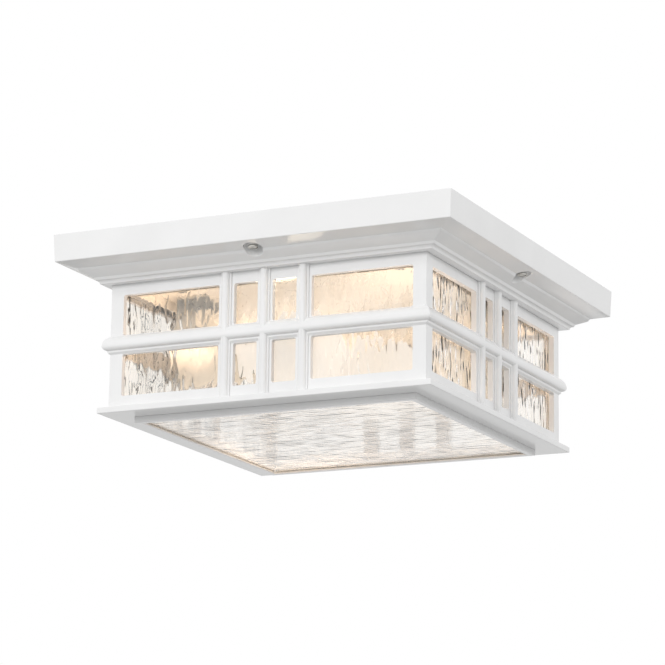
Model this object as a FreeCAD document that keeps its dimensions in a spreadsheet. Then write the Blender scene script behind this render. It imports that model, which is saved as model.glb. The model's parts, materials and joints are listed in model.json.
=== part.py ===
import FreeCAD, Part
import math
import os
from types import SimpleNamespace

import Sketcher

# Square flush ceiling light for outdoors. The origin is the middle of the canopy
# where it meets the ceiling, and +Z points up into the ceiling, so all heights
# are negative. Half widths are measured from the middle of the square plan.

# Driving sizes in millimetres.
SIZES = {
    # canopy: rim, then the stepped moulding down to the glazed body
    "rim_half": 152.4,
    "rim_draft": 0.9,
    "rim_height": 19.7,
    "soffit_one_run": 11.6,
    "soffit_one_drop": 3.3,
    "lip_one_run": 1.3,
    "lip_one_drop": 2.0,
    "soffit_two_run": 7.2,
    "soffit_two_drop": 3.5,
    "lip_two_run": 1.0,
    "lip_two_drop": 1.9,
    "cove_radius": 2.5,
    "canopy_wall": 2.5,
    "ledge_thickness": 3.0,
    # screw pockets in the canopy
    "fixing_inset": 11.4,
    "pocket_radius": 6.75,
    "pocket_height": 20.0,
    "pocket_wall": 2.2,
    "tower_radius": 5.2,
    "tower_gap": 0.3,
    "fixing_bore_radius": 3.0,
    # fixing screws
    "screw_radius": 2.5,
    "screw_head_radius": 3.5,
    "screw_head_height": 2.3,
    "screw_slot_width": 1.0,
    "screw_slot_depth": 1.1,
    "screw_tip_depth": 0.8,
    "washer_radius": 5.0,
    "washer_thickness": 1.0,
    "running_gap": 0.05,
    # glazed body
    "cage_setback": 6.4,
    "cage_height": 89.0,
    "cage_wall": 4.0,
    "cage_gap": 0.2,
    "corner_post": 10.0,
    "bar_width": 11.5,
    "bar_spacing": 29.85,
    "header": 7.9,
    "upper_window_height": 29.2,
    "middle_rail": 13.5,
    "bottom_rail": 8.4,
    "window_corner_radius": 1.5,
    "top_flange_thickness": 2.5,
    "top_flange_gap": 0.5,
    "lip_inset": 13.5,
    "lip_height": 5.6,
    # vertical beads on the glazing bars
    "bead_width": 8.0,
    "bead_fillet_width": 1.0,
    "bead_fillet_height": 1.4,
    "bead_height": 4.2,
    # band round the middle
    "band_top_drop": 37.3,
    "band_projection": 4.5,
    "band_ovolo_drop": 7.3,
    "band_under_radius": 3.0,
    "band_neck_drop": 1.3,
    # flange, tray and glass
    "flange_overhang": 6.0,
    "flange_thickness": 4.1,
    "opening_inset": 18.5,
    "tray_inset": 13.5,
    "tray_depth": 4.4,
    "tray_wall": 1.1,
    "tray_ledge": 1.1,
    "tray_edge": 0.4,
    "tray_post": 4.0,
    "glass_thickness": 3.0,
    "glass_gap": 0.3,
    "glass_corner": 8.5,
    "tape_gap": 0.2,
    "pane_corner_gap": 0.6,
    "pane_cover": 2.3,
    # small screws and clips of the housing
    "cage_screw_inset": 41.5,
    "cage_screw_radius": 1.25,
    "cage_screw_head_radius": 2.2,
    "cage_screw_head_height": 1.6,
    "cage_screw_cover": 1.0,
    "clip_inset": 54.5,
    "clip_width": 12.0,
    "clip_sheet": 0.8,
    "clip_gap": 0.2,
    "clip_height": 9.0,
    "clip_tongue": 2.1,
    "clip_screw_height": 5.5,
    "clip_screw_radius": 1.2,
    "clip_screw_head_radius": 2.0,
    "clip_screw_head_height": 1.4,
    "flange_screw_inset": 51.5,
    "flange_screw_edge": 8.0,
    "flange_screw_radius": 1.5,
    "flange_screw_head_radius": 2.4,
    "flange_screw_head_height": 2.1,
    "flange_screw_cover": 1.1,
    "tray_screw_inset": 2.8,
    "tray_screw_radius": 1.25,
    "tray_screw_head_radius": 2.0,
    "tray_screw_head_height": 1.6,
    "tray_screw_cover": 0.6,
    # pan on the ceiling
    "pan_gap": 2.4,
    "pan_sheet": 1.5,
    "pan_depth": 5.5,
    "pan_channel_width": 47.5,
    "gasket_gap": 6.0,
    "gasket_width": 25.0,
    "nut_radius": 4.6,
    "nut_height": 3.5,
    "pan_hole_radius": 3.2,
    "slot_place": 39.7,
    "slot_length": 14.5,
    "slot_width": 5.0,
    "wire_place": 28.0,
    "wire_hole_radius": 11.0,
    "bushing_bore_radius": 7.0,
    "bushing_flange_radius": 13.5,
    "bushing_flange_thickness": 1.5,
    "ground_place": 45.0,
    "ground_radius": 2.0,
    "ground_head_radius": 4.0,
    "ground_head_height": 2.5,
    # reflector, its posts and its pad
    "reflector_inset": 13.5,
    "reflector_top": 30.0,
    "reflector_sheet": 1.0,
    "reflector_skirt": 9.0,
    "post_inset": 23.0,
    "post_radius": 4.0,
    "post_screw_radius": 1.75,
    "post_screw_length": 8.0,
    "post_screw_head_radius": 3.5,
    "post_screw_head_height": 2.0,
    "pad_inset": 30.0,
    "pad_height": 12.0,
    "pad_wire_radius": 18.0,
    # lamps and holders, along the axis from the back of each holder
    "lamp_depth": 75.0,
    "lamp_inset": 60.0,
    "holder_inset": 23.5,
    "holder_radius": 20.0,
    "holder_mouth_radius": 18.0,
    "holder_collar": 14.0,
    "holder_length": 40.0,
    "holder_back": 8.0,
    "shell_radius": 13.85,
    "shell_sheet": 0.5,
    "shell_start": 10.0,
    "shell_length": 28.0,
    "contact_pin_radius": 2.0,
    "contact_disc_radius": 5.0,
    "contact_disc_height": 1.0,
    "contact_stem_radius": 3.5,
    "contact_gap": 0.3,
    "lamp_start": 14.0,
    "lamp_length": 108.0,
    "button_radius": 4.5,
    "button_height": 1.5,
    "cap_cone_height": 4.5,
    "cap_length": 27.0,
    "cap_sheet": 0.5,
    "neck_gap": 0.1,
    "neck_sunk": 3.0,
    "neck_height": 1.0,
    "globe_radius": 30.0,
    "globe_wall": 0.8,
    "bracket_sheet": 1.5,
    "bracket_width": 36.0,
    "bracket_height": 63.0,
    "bracket_foot": 20.0,
    "bracket_lead_radius": 6.0,
    "rivet_place": 12.0,
    "rivet_from_bend": 9.0,
    "rivet_radius": 1.6,
    "rivet_head_radius": 3.0,
    "rivet_head_height": 1.0,
    "holder_screw_place": 15.0,
    "holder_screw_radius": 1.6,
    "holder_screw_depth": 6.0,
    "holder_screw_head_radius": 3.0,
    "holder_screw_head_height": 1.6,
    # overrun of every cut
    "overrun": 1.0,
}

# Where the round of the globe starts, as shares of its radius.
GLOBE_SHOULDER_SHARES = (0.883, 0.469)

SIDES = ("front", "right", "back", "left")
UP = FreeCAD.Vector(0, 0, 1)
DOWN = FreeCAD.Vector(0, 0, -1)
FORWARD = FreeCAD.Vector(0, -1, 0)

document = FreeCAD.newDocument("ceiling_light")
pieces = []


class Length:
    # A length on the sheet: the expression that binds it and its present value.
    def __init__(self, text, value):
        self.text = text
        self.value = value

    def __add__(self, other):
        return Length("(%s + %s)" % (self.text, other.text), self.value + other.value)

    def __sub__(self, other):
        return Length("(%s - %s)" % (self.text, other.text), self.value - other.value)

    def __neg__(self):
        return Length("(-%s)" % self.text, -self.value)

    def __mul__(self, share):
        return Length("(%s * %s)" % (self.text, share), self.value * share)

    def __truediv__(self, count):
        return Length("(%s / %s)" % (self.text, count), self.value / count)


ZERO = Length("0", 0.0)


def arc_radius(half_chord, rise):
    # Radius of the arc that rises by this much over a chord twice this long.
    text = "((%s ^ 2 + %s ^ 2) / %s / 2)" % (half_chord.text, rise.text, rise.text)
    return Length(text, (half_chord.value ** 2 + rise.value ** 2) / rise.value / 2)


def make_sheet():
    sheet = document.addObject("Spreadsheet::Sheet", "sizes")
    for row, (name, value) in enumerate(SIZES.items(), start=1):
        sheet.set("A%d" % row, name)
        sheet.set("B%d" % row, str(value))
        sheet.setAlias("B%d" % row, name)
    document.recompute()
    return SimpleNamespace(**{name: Length("sizes." + name, value) for name, value in SIZES.items()})


s = make_sheet()


# Levels and half widths that several pieces share
soffit_one_half = s.rim_half - s.rim_draft - s.soffit_one_run
soffit_one_level = -(s.rim_height + s.soffit_one_drop)
lip_one_half = soffit_one_half - s.lip_one_run
lip_one_level = soffit_one_level - s.lip_one_drop
soffit_two_half = lip_one_half - s.soffit_two_run
soffit_two_level = lip_one_level - s.soffit_two_drop
lip_two_half = soffit_two_half - s.lip_two_run
lip_two_level = soffit_two_level - s.lip_two_drop
cove_half = lip_two_half - s.cove_radius
canopy_bottom = lip_two_level - s.cove_radius
ledge_top = canopy_bottom + s.ledge_thickness
fixing_half = s.rim_half - s.fixing_inset
cage_half = cove_half - s.cage_setback
ledge_half = cage_half + s.cage_gap
cage_inner_half = cage_half - s.cage_wall
lip_half = cage_half - s.lip_inset
flange_half = cage_half + s.flange_overhang
opening_half = cage_half - s.opening_inset
tray_half = cage_half - s.tray_inset
tray_screw_half = tray_half - s.tray_screw_inset
flange_screw_half = opening_half + s.flange_screw_edge
flange_screw_place = cage_half - s.flange_screw_inset
cage_screw_place = cage_half - s.cage_screw_inset
cage_top = ledge_top + s.top_flange_thickness
cage_bottom = canopy_bottom - s.cage_height
lip_top = cage_bottom + s.lip_height
flange_bottom = cage_bottom - s.flange_thickness
tray_bottom = flange_bottom - s.tray_depth
tray_ledge_top = tray_bottom + s.tray_ledge
tray_inner_half = tray_half - s.tray_wall
window_top = canopy_bottom - s.header
pane_inner_half = cage_inner_half - s.glass_thickness
pane_half = pane_inner_half - s.pane_corner_gap
pane_top = window_top + s.pane_cover
clip_place = pane_inner_half - s.clip_inset
pan_half = s.rim_half - s.canopy_wall - s.pan_gap
pan_centre_half = pan_half - s.pan_channel_width
gasket_inner_half = pan_centre_half + s.gasket_gap
gasket_outer_half = gasket_inner_half + s.gasket_width
pan_bottom = -s.pan_depth
pan_channel = pan_bottom + s.pan_sheet
pan_plate_bottom = -s.pan_sheet
reflector_half = cage_half - s.reflector_inset
post_place = reflector_half - s.post_inset
lamp_offset = reflector_half - s.lamp_inset
pad_half = reflector_half - s.pad_inset
holder_place = cage_half - s.holder_inset
reflector_bottom = -(s.reflector_top + s.reflector_sheet)
cage_screw_half = (ledge_half + cove_half) / 2


def bind(item, **lengths):
    for name, length in lengths.items():
        item.setExpression(name, length.text)


def put(item, x, y, z, rotation=None):
    if rotation is not None:
        item.Placement.Rotation = rotation
    item.setExpression("Placement.Base.x", x.text)
    item.setExpression("Placement.Base.y", y.text)
    item.setExpression("Placement.Base.z", z.text)


def block(name, low, high):
    item = document.addObject("Part::Box", name)
    bind(item, Length=high[0] - low[0], Width=high[1] - low[1], Height=high[2] - low[2])
    put(item, *low)
    return item


def rod(name, start, radius, length, axis=UP):
    item = document.addObject("Part::Cylinder", name)
    bind(item, Radius=radius, Height=length)
    put(item, *start, rotation=FreeCAD.Rotation(UP, axis))
    return item


def together(name, items):
    item = document.addObject("Part::Compound", name)
    item.Links = items
    return item


def fused(name, items):
    item = document.addObject("Part::MultiFuse", name)
    item.Shapes = items
    item.Refine = True
    return item


def cut(name, base, tools):
    item = document.addObject("Part::Cut", name)
    item.Base = base
    item.Tool = together(name + "_cuts", tools)
    return item


def quarter_turns(count):
    return FreeCAD.Rotation(UP, 90 * count)


def headed_pin(name, seat, head, shank, axis):
    # A screw or rivet: the head lies behind the seat, the shank runs along the axis.
    x, y, z = seat
    head_radius, head_height = head
    shank_radius, shank_length = shank
    back = FreeCAD.Vector(-axis.x, -axis.y, -axis.z)
    crown = rod(name + "_head", (x, y, z), head_radius, head_height, back)
    stem = rod(name + "_stem", (x, y, z), shank_radius, shank_length, axis)
    return fused(name, [crown, stem])


def on_four_sides(name, make_side):
    # The same pieces on each of the four sides, made at the front and turned.
    groups = []
    for turns, side in enumerate(SIDES):
        group = together("%s_%s" % (name, side), make_side("%s_%s" % (name, side)))
        group.Placement.Rotation = quarter_turns(turns)
        groups.append(group)
    return groups


def origin_plane(body, role):
    return next(plane for plane in body.Origin.OriginFeatures if plane.Role == role)


def new_body(name):
    return document.addObject("PartDesign::Body", name)


def new_sketch(body, name, role, offset=None):
    sketch = body.newObject("Sketcher::SketchObject", name)
    sketch.AttachmentSupport = [(origin_plane(body, role), "")]
    sketch.MapMode = "FlatFace"
    if offset is not None:
        sketch.setExpression("AttachmentOffset.Base.z", offset.text)
    return sketch


def point(place):
    return FreeCAD.Vector(place[0].value, place[1].value, 0)


def arc_about(centre, start, end):
    first = math.atan2(start.y - centre.y, start.x - centre.x)
    last = math.atan2(end.y - centre.y, end.x - centre.x)
    if last < first:
        last += 2 * math.pi
    circle = Part.Circle(centre, UP, (start - centre).Length)
    return Part.ArcOfCircle(circle, first, last)


def hold(sketch, kind, geometry, vertex, length):
    # Tie one coordinate of a point to a length. Points on an axis lie on the axis itself.
    if length is ZERO:
        axis = -2 if kind == "DistanceX" else -1
        sketch.addConstraint(Sketcher.Constraint("PointOnObject", geometry, vertex, axis))
        return
    index = sketch.addConstraint(Sketcher.Constraint(kind, -1, 1, geometry, vertex, length.value))
    sketch.setExpression("Constraints[%d]" % index, length.text)


def hold_centre(sketch, geometry, start, end, centre):
    # An arc between two held ends needs one coordinate of its centre, the one across its chord.
    chord = point(end) - point(start)
    if abs(chord.x) > abs(chord.y):
        hold(sketch, "DistanceY", geometry, 3, centre[1])
    else:
        hold(sketch, "DistanceX", geometry, 3, centre[0])


def outline(sketch, corners, centres=None):
    # Sides run from corner to corner. A side whose number is in centres is an
    # arc about that centre, and the others are straight.
    first_side = sketch.GeometryCount
    side_count = len(corners)
    arcs = centres or {}
    ends = []
    for number in range(side_count):
        start = point(corners[number])
        end = point(corners[(number + 1) % side_count])
        turned_back = False
        if number in arcs:
            centre = point(arcs[number])
            turned_back = (start - centre).cross(end - centre).z < 0
            side = arc_about(centre, end, start) if turned_back else arc_about(centre, start, end)
        else:
            side = Part.LineSegment(start, end)
        sketch.addGeometry(side, False)
        ends.append((2, 1) if turned_back else (1, 2))
    for number in range(side_count):
        geometry = first_side + number
        following = (number + 1) % side_count
        joint = (geometry, ends[number][1], first_side + following, ends[following][0])
        sketch.addConstraint(Sketcher.Constraint("Coincident", *joint))
        hold(sketch, "DistanceX", geometry, ends[number][0], corners[number][0])
        hold(sketch, "DistanceY", geometry, ends[number][0], corners[number][1])
        if number in arcs:
            hold_centre(sketch, geometry, corners[number], corners[following], arcs[number])


def square(sketch, half):
    outline(sketch, [(half, -half), (half, half), (-half, half), (-half, -half)])


def pad(body, name, sketch, length, reverse=False, both_ways=False):
    feature = body.newObject("PartDesign::Pad", name)
    feature.Profile = sketch
    feature.Reversed = reverse
    if both_ways:
        feature.Midplane = True
    bind(feature, Length=length)
    return feature


def pocket(body, name, sketch, length, reverse=False):
    feature = body.newObject("PartDesign::Pocket", name)
    feature.Profile = sketch
    feature.Reversed = reverse
    bind(feature, Length=length)
    return feature


def square_ring(name, corners, centres=None):
    # A section carried round the square plan, with mitred corners.
    body = new_body(name)
    half = corners[0][0]
    path = new_sketch(body, name + "_path", "XY_Plane")
    plan = [(half, ZERO), (half, half), (-half, half), (-half, -half), (half, -half)]
    outline(path, plan)
    section = new_sketch(body, name + "_section", "XZ_Plane")
    outline(section, corners, centres)
    sweep = body.newObject("PartDesign::AdditivePipe", name + "_sweep")
    sweep.Profile = section
    sweep.Spine = (path, [])
    sweep.Transition = "Right corner"
    return body


def turned(name, corners, centres=None):
    # A round piece, turned about +Z.
    body = new_body(name)
    section = new_sketch(body, name + "_section", "XZ_Plane")
    outline(section, corners, centres)
    feature = body.newObject("PartDesign::Revolution", name + "_turn")
    feature.Profile = section
    feature.ReferenceAxis = (section, ["V_Axis"])
    feature.Angle = 360
    return body


def tube(name, inner, outer, bottom, top):
    return turned(name, [(inner, bottom), (outer, bottom), (outer, top), (inner, top)])


def canopy_face():
    # The canopy's outside from the ceiling to the ledge, with its cove.
    corners = [
        (s.rim_half, ZERO),
        (s.rim_half - s.rim_draft, -s.rim_height),
        (soffit_one_half, soffit_one_level),
        (lip_one_half, lip_one_level),
        (soffit_two_half, soffit_two_level),
        (lip_two_half, lip_two_level),
        (cove_half, canopy_bottom),
        (ledge_half, canopy_bottom),
    ]
    cove_side = 5
    return corners, {cove_side: (lip_two_half, canopy_bottom)}


def canopy():
    face, coves = canopy_face()
    wall = s.canopy_wall
    inside = [
        (ledge_half, ledge_top),
        (cove_half, ledge_top),
        (lip_two_half - wall / 2, lip_two_level + wall),
        (soffit_two_half - wall / 2, soffit_two_level + wall),
        (lip_one_half - wall / 2, lip_one_level + wall),
        (soffit_one_half - wall / 2, soffit_one_level + wall),
        (s.rim_half - s.rim_draft - wall, wall - s.rim_height),
        (s.rim_half - wall, ZERO),
    ]
    shell = square_ring("canopy_shell", face + inside, coves)
    form = square_ring("canopy_form", face + [(ledge_half, ZERO)], coves)
    pocket_top = -s.pocket_height
    boss_top = pocket_top + s.canopy_wall
    tower_top = pan_bottom - s.tower_gap
    bosses = []
    towers = []
    cuts = []
    for turns, side in enumerate(SIDES):
        place = (ZERO, -fixing_half)
        boss = rod("boss_" + side, (*place, canopy_bottom), s.pocket_radius + s.pocket_wall, boss_top - canopy_bottom)
        tower = rod("tower_" + side, (*place, boss_top - s.canopy_wall / 2), s.tower_radius,
                    tower_top - boss_top + s.canopy_wall / 2)
        hollow = rod("pocket_" + side, (*place, canopy_bottom), s.pocket_radius, pocket_top - canopy_bottom)
        bore = rod("bore_" + side, (*place, canopy_bottom), s.fixing_bore_radius, -canopy_bottom)
        for kept, item in ((bosses, boss), (towers, tower), (cuts, hollow), (cuts, bore)):
            group = together(item.Name + "_turned", [item])
            group.Placement.Rotation = quarter_turns(turns)
            kept.append(group)
    trimmed = document.addObject("Part::Common", "bosses")
    trimmed.Base = form
    trimmed.Tool = together("boss_rods", bosses)
    cast = fused("canopy_cast", [shell, trimmed] + towers)
    depth = ledge_top - canopy_bottom - s.cage_screw_cover
    for turns, side in enumerate(SIDES):
        holes = []
        for sign, hand in ((-1, "a"), (1, "b")):
            place = (cage_screw_place * sign, -cage_screw_half, ledge_top - depth)
            name = "cage_screw_hole_%s_%s" % (side, hand)
            holes.append(rod(name, place, s.cage_screw_radius + s.running_gap, depth + s.overrun))
        group = together("cage_screw_holes_" + side, holes)
        group.Placement.Rotation = quarter_turns(turns)
        cuts.append(group)
    pieces.append(cut("canopy", cast, cuts))


def frame_section():
    # Section through one side of the glazed body, from the top flange down the
    # outside over the band to the inner lip, and up the inside.
    band_top = canopy_bottom - s.band_top_drop
    band_tip = band_top - s.band_ovolo_drop
    band_half = cage_half + s.band_projection
    neck_half = band_half - s.band_under_radius
    neck_top = band_tip - s.band_under_radius
    neck_bottom = neck_top - s.band_neck_drop
    # The ovolo is upright at the tip.
    ovolo = arc_radius(s.band_ovolo_drop, s.band_projection)
    flange_half = cove_half - s.top_flange_gap
    corners = [
        (flange_half, cage_top),
        (flange_half, ledge_top),
        (cage_half, ledge_top),
        (cage_half, band_top),
        (band_half, band_tip),
        (neck_half, neck_top),
        (neck_half, neck_bottom),
        (cage_half, neck_bottom - (neck_half - cage_half)),
        (cage_half, cage_bottom),
        (lip_half, cage_bottom),
        (lip_half, lip_top),
        (cage_inner_half, lip_top),
        (cage_inner_half, cage_top),
    ]
    ovolo_side = 3
    under_side = 4
    centres = {
        ovolo_side: (band_half - ovolo, band_tip),
        under_side: (neck_half, band_tip),
    }
    return corners, centres


def window_places():
    # Low and high corners of the eight windows of one side, in the side's own plane.
    half_bar = s.bar_width / 2
    columns = [
        (-(cage_half - s.corner_post), -(s.bar_spacing + half_bar)),
        (-(s.bar_spacing - half_bar), -half_bar),
        (half_bar, s.bar_spacing - half_bar),
        (s.bar_spacing + half_bar, cage_half - s.corner_post),
    ]
    upper_bottom = window_top - s.upper_window_height
    rows = [
        (upper_bottom, window_top),
        (cage_bottom + s.bottom_rail, upper_bottom - s.middle_rail),
    ]
    return [((left, low), (right, high)) for left, right in columns for low, high in rows]


def window_corner_edges(shape):
    # The edges that run through the wall at the corners of the windows.
    names = []
    for number, edge in enumerate(shape.Edges, start=1):
        start, end = (vertex.Point for vertex in (edge.Vertexes[0], edge.Vertexes[-1]))
        along_wall = abs(start.x - end.x) + abs(start.z - end.z)
        length = abs(start.y - end.y)
        inside_posts = abs(start.x) < (cage_half - s.corner_post / 2).value
        at_window = cage_bottom.value < start.z < canopy_bottom.value
        through = abs(length - s.cage_wall.value) < s.running_gap.value
        if along_wall < s.running_gap.value and inside_posts and at_window and through:
            names.append("Edge%d" % number)
    return names


def side_frame(side, turns):
    name = side + "_frame"
    body = new_body(name)
    # The section lies across the left and right of the body and is carried along the front.
    section = new_sketch(body, name + "_section", "YZ_Plane")
    corners, centres = frame_section()
    mirrored = [(-across, level) for across, level in corners]
    outline(section, mirrored, {number: (-across, level) for number, (across, level) in centres.items()})
    reach = cove_half + s.overrun
    pad(body, name + "_wall", section, reach * 2, both_ways=True)

    mitres = new_sketch(body, name + "_mitres", "XY_Plane")
    far = reach * 2
    outline(mitres, [(ZERO, ZERO), (far, -far), (far, reach), (-far, reach), (-far, -far)])
    mitre_cut = pocket(body, name + "_mitre_cut", mitres, -cage_bottom + s.overrun)

    windows = new_sketch(body, name + "_windows", "XZ_Plane", cage_half)
    for low, high in window_places():
        outline(windows, [low, (high[0], low[1]), high, (low[0], high[1])])
    openings = pocket(body, name + "_openings", windows, s.cage_wall + s.overrun)
    document.recompute()
    check_smaller(openings, mitre_cut)

    rounds = body.newObject("PartDesign::Fillet", name + "_window_corners")
    rounds.Base = (openings, window_corner_edges(openings.Shape))
    bind(rounds, Radius=s.window_corner_radius)

    beads = new_sketch(body, name + "_beads", "XY_Plane", canopy_bottom)
    half = s.bead_width / 2
    shoulder = half - s.bead_fillet_width
    crown = s.bead_height - s.bead_fillet_height
    root = -(cage_half - s.cage_wall / 2)
    fillet = -(cage_half + s.bead_fillet_height)
    crown_radius = arc_radius(shoulder, crown)
    for sign in (-1, 0, 1):
        middle = s.bar_spacing * sign
        bead = [
            (middle - half, root),
            (middle - half, fillet),
            (middle - shoulder, fillet),
            (middle + shoulder, fillet),
            (middle + half, fillet),
            (middle + half, root),
        ]
        outline(beads, bead, {2: (middle, crown_radius - cage_half - s.bead_height)})
    pad(body, name + "_bead_bars", beads, s.cage_height, reverse=True)
    document.recompute()

    holes = []
    for sign, hand in ((-1, "a"), (1, "b")):
        top = (cage_screw_place * sign, -cage_screw_half, ledge_top - s.overrun)
        holes.append(rod("%s_top_hole_%s" % (name, hand), top, s.cage_screw_radius + s.running_gap,
                         s.top_flange_thickness + s.overrun * 2))
        bottom = (flange_screw_place * sign, -flange_screw_half, cage_bottom - s.overrun)
        holes.append(rod("%s_lip_hole_%s" % (name, hand), bottom, s.flange_screw_radius + s.running_gap,
                         s.lip_height + s.overrun * 2))
        clip = (clip_place * sign, -(cage_inner_half - s.overrun), pane_top + s.clip_screw_height)
        holes.append(rod("%s_clip_hole_%s" % (name, hand), clip, s.clip_screw_radius + s.running_gap,
                         s.cage_wall / 2 + s.overrun + s.running_gap, FORWARD))
    frame = cut(name + "_drilled", body, holes)
    body.Label = name + "_body"
    frame.Label = name
    frame.Placement.Rotation = quarter_turns(turns)
    pieces.append(frame)


def check_smaller(after, before):
    if not after.Shape.Volume < before.Shape.Volume:
        raise RuntimeError(after.Label + " cuts nothing")


def cage_screws():
    def one_side(name):
        screws = []
        for sign, hand in ((-1, "a"), (1, "b")):
            seat = (cage_screw_place * sign, -cage_screw_half, cage_top)
            head = (s.cage_screw_head_radius, s.cage_screw_head_height)
            shank = (s.cage_screw_radius, s.top_flange_thickness + s.ledge_thickness - s.cage_screw_cover)
            screws.append(headed_pin("%s_%s" % (name, hand), seat, head, shank, DOWN))
        return screws
    pieces.append(together("cage_screws", on_four_sides("cage_screw", one_side)))


def side_panes():
    for turns, side in enumerate(SIDES):
        name = side + "_pane"
        pane = block(name, (-pane_half, -cage_inner_half, lip_top), (pane_half, -pane_inner_half, pane_top))
        turned_pane = together(name + "_turned", [pane])
        turned_pane.Placement.Rotation = quarter_turns(turns)
        pane.Label = name + "_sheet"
        turned_pane.Label = name
        pieces.append(turned_pane)


def pane_clips():
    def one_side(name):
        clips = []
        for sign, hand in ((-1, "a"), (1, "b")):
            left = clip_place * sign - s.clip_width / 2
            right = clip_place * sign + s.clip_width / 2
            foot = pane_top + s.clip_gap
            inner = -(pane_inner_half - s.clip_sheet)
            leg = block("%s_leg_%s" % (name, hand), (left, -cage_inner_half, foot),
                        (right, s.clip_sheet - cage_inner_half, foot + s.clip_height))
            shelf = block("%s_shelf_%s" % (name, hand), (left, -cage_inner_half, foot),
                          (right, inner, foot + s.clip_sheet))
            tongue = block("%s_tongue_%s" % (name, hand), (left, -pane_inner_half, foot - s.clip_tongue),
                           (right, inner, foot + s.clip_sheet))
            clip = fused("%s_bent_%s" % (name, hand), [leg, shelf, tongue])
            place = (clip_place * sign, s.clip_sheet - cage_inner_half + s.overrun, pane_top + s.clip_screw_height)
            hole = rod("%s_hole_%s" % (name, hand), place, s.clip_screw_radius + s.running_gap,
                       s.clip_sheet + s.overrun * 2, FORWARD)
            clips.append(cut("%s_%s" % (name, hand), clip, [hole]))
        return clips
    pieces.append(together("pane_clips", on_four_sides("pane_clip", one_side)))


def pane_clip_screws():
    def one_side(name):
        screws = []
        for sign, hand in ((-1, "a"), (1, "b")):
            seat = (clip_place * sign, s.clip_sheet - cage_inner_half, pane_top + s.clip_screw_height)
            head = (s.clip_screw_head_radius, s.clip_screw_head_height)
            shank = (s.clip_screw_radius, s.clip_sheet + s.cage_wall / 2)
            screws.append(headed_pin("%s_%s" % (name, hand), seat, head, shank, FORWARD))
        return screws
    pieces.append(together("pane_clip_screws", on_four_sides("pane_clip_screw", one_side)))


def bottom_flange():
    ring = square_ring("bottom_flange_ring", [
        (flange_half, cage_bottom),
        (flange_half, flange_bottom),
        (opening_half, flange_bottom),
        (opening_half, cage_bottom),
    ])
    depth = s.flange_thickness - s.flange_screw_cover
    cuts = []
    for turns, side in enumerate(SIDES):
        holes = []
        for sign, hand in ((-1, "a"), (1, "b")):
            place = (flange_screw_place * sign, -flange_screw_half, cage_bottom - depth)
            holes.append(rod("flange_hole_%s_%s" % (side, hand), place, s.flange_screw_radius + s.running_gap,
                             depth + s.overrun))
        corner = (tray_screw_half, -tray_screw_half, flange_bottom - s.overrun)
        holes.append(rod("flange_corner_hole_" + side, corner, s.tray_screw_radius + s.running_gap,
                         s.flange_thickness + s.overrun * 2))
        group = together("flange_holes_" + side, holes)
        group.Placement.Rotation = quarter_turns(turns)
        cuts.append(group)
    pieces.append(cut("bottom_flange", ring, cuts))


def flange_screws():
    def one_side(name):
        screws = []
        for sign, hand in ((-1, "a"), (1, "b")):
            seat = (flange_screw_place * sign, -flange_screw_half, lip_top)
            head = (s.flange_screw_head_radius, s.flange_screw_head_height)
            shank = (s.flange_screw_radius, s.lip_height + s.flange_thickness - s.flange_screw_cover)
            screws.append(headed_pin("%s_%s" % (name, hand), seat, head, shank, DOWN))
        return screws
    pieces.append(together("flange_screws", on_four_sides("flange_screw", one_side)))


def bottom_tray():
    # A shallow frame below the flange: an upright wall and a ledge under the glass.
    ring = square_ring("bottom_tray_ring", [
        (tray_half, flange_bottom),
        (tray_half, tray_bottom + s.tray_edge),
        (tray_half - s.tray_edge, tray_bottom),
        (opening_half, tray_bottom),
        (opening_half, tray_ledge_top),
        (tray_inner_half, tray_ledge_top),
        (tray_inner_half, flange_bottom),
    ])
    posts = []
    holes = []
    for turns, side in enumerate(SIDES):
        inner = tray_inner_half + s.tray_wall / 2 - s.tray_post
        outer = tray_inner_half + s.tray_wall / 2
        post = block("tray_post_" + side, (inner, -outer, tray_bottom + s.tray_ledge / 2), (outer, -inner, flange_bottom))
        corner = (tray_screw_half, -tray_screw_half, tray_ledge_top + s.tray_screw_cover)
        hole = rod("tray_hole_" + side, corner, s.tray_screw_radius + s.running_gap, s.tray_depth)
        for kept, item in ((posts, post), (holes, hole)):
            group = together(item.Name + "_turned", [item])
            group.Placement.Rotation = quarter_turns(turns)
            kept.append(group)
    pieces.append(cut("bottom_tray", fused("bottom_tray_cast", [ring] + posts), holes))


def tray_screws():
    def one_corner(name):
        seat = (tray_screw_half, -tray_screw_half, cage_bottom)
        head = (s.tray_screw_head_radius, s.tray_screw_head_height)
        depth = s.flange_thickness + s.tray_depth - s.tray_ledge - s.tray_screw_cover
        return [headed_pin(name + "_pin", seat, head, (s.tray_screw_radius, depth), DOWN)]
    pieces.append(together("tray_screws", on_four_sides("tray_screw", one_corner)))


def tray_tape():
    tape_top = flange_bottom - s.glass_thickness
    length = tray_inner_half - s.tray_post

    def one_side(name):
        low = (-length, -(tray_inner_half - s.tape_gap), tray_ledge_top)
        high = (length, -(opening_half + s.tape_gap), tape_top)
        return [block(name + "_strip", low, high)]
    pieces.append(together("tray_tape", on_four_sides("tray_tape", one_side)))


def bottom_pane():
    body = new_body("bottom_pane")
    half = tray_inner_half - s.glass_gap
    near = half - s.glass_corner
    plan = new_sketch(body, "bottom_pane_plan", "XY_Plane", flange_bottom)
    outline(plan, [(half, -near), (half, near), (near, half), (-near, half),
                   (-half, near), (-half, -near), (-near, -half), (near, -half)])
    pad(body, "bottom_pane_sheet", plan, s.glass_thickness, reverse=True)
    pieces.append(body)


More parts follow.
